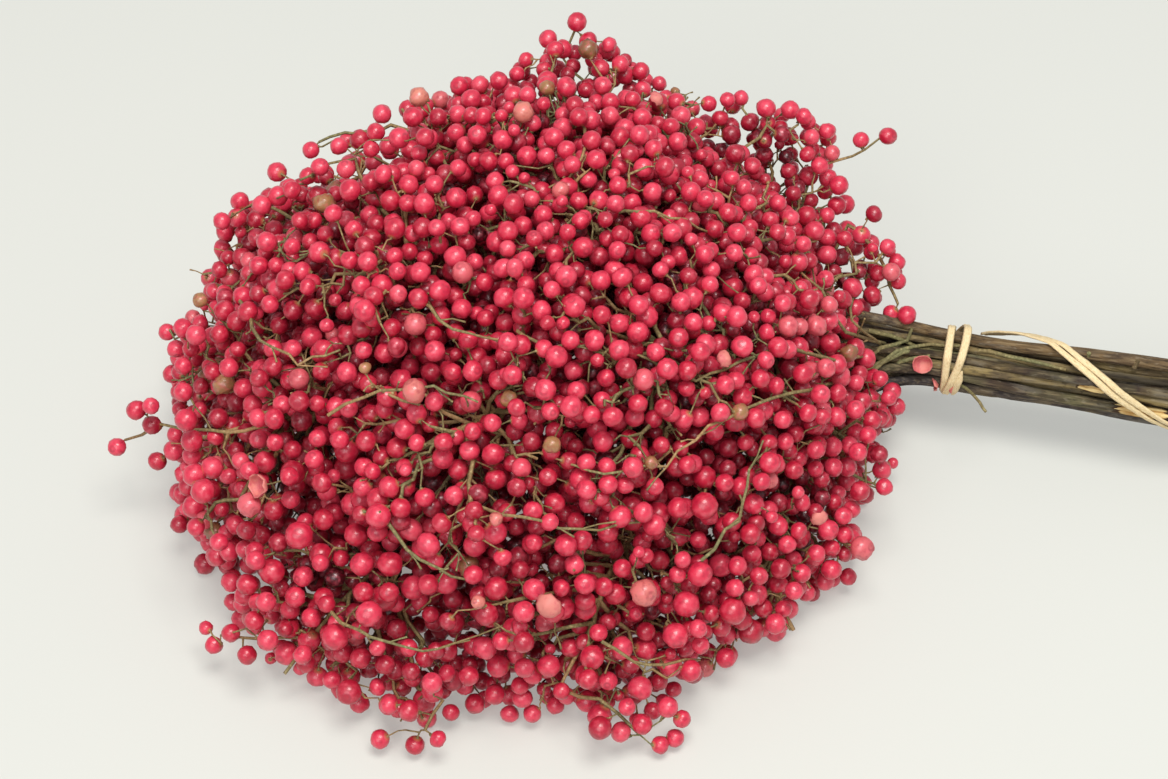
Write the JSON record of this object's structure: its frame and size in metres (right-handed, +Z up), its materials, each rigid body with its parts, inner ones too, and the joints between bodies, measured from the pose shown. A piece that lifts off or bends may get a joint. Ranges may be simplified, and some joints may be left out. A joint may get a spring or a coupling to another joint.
{
  "type": "tied bunch of peruvian pepper sprigs with pink berries",
  "caption": "Domed bunch of cut Peruvian pepper sprigs with pink berries on thin twigs, tied at the neck with raffia, woody stems to one side, lying down as table decoration.",
  "frame": {"origin": "bottom centre of the bounding box, on the table that the bunch lies on", "axes": "+X along the stems, from the berry head towards the cut ends; +Z up from the table; +Y to the side of the head that the neck is nearer to"},
  "size_m": [0.3618, 0.2304, 0.1205],
  "materials": {
    "stem_bark": "matte, rough grey-brown bark",
    "berry": "waxy satin pink-red skin",
    "twig": "matte olive-tan twig",
    "raffia": "satin straw-coloured fibre"
  },
  "bodies": {
    "root": {"stem_01": "stem_bark", "stem_02": "stem_bark", "stem_03": "stem_bark", "stem_04": "stem_bark", "stem_05": "stem_bark", "stem_06": "stem_bark", "stem_07": "stem_bark", "stem_08": "stem_bark", "stem_09": "stem_bark", "stem_10": "stem_bark", "stem_11": "stem_bark", "stem_12": "stem_bark", "stem_13": "stem_bark", "stem_14": "stem_bark", "stem_15": "stem_bark", "stem_16": "stem_bark", "stem_17": "stem_bark", "stem_18": "stem_bark", "stem_19": "stem_bark", "stem_20": "stem_bark", "stem_21": "stem_bark", "stem_22": "stem_bark", "stem_23": "stem_bark", "spray_01": "berry", "spray_02": "berry", "spray_03": "berry", "spray_04": "berry", "spray_05": "berry", "spray_06": "berry", "spray_07": "berry", "spray_08": "berry", "spray_09": "berry", "spray_10": "berry", "spray_11": "berry", "spray_12": "berry", "spray_13": "berry", "spray_14": "berry", "spray_15": "berry", "spray_16": "berry", "spray_17": "berry", "spray_18": "berry", "spray_19": "berry", "spray_20": "berry", "spray_21": "berry", "spray_22": "berry", "spray_23": "berry", "raffia_tie": "raffia"}
  },
  "joints": []
}
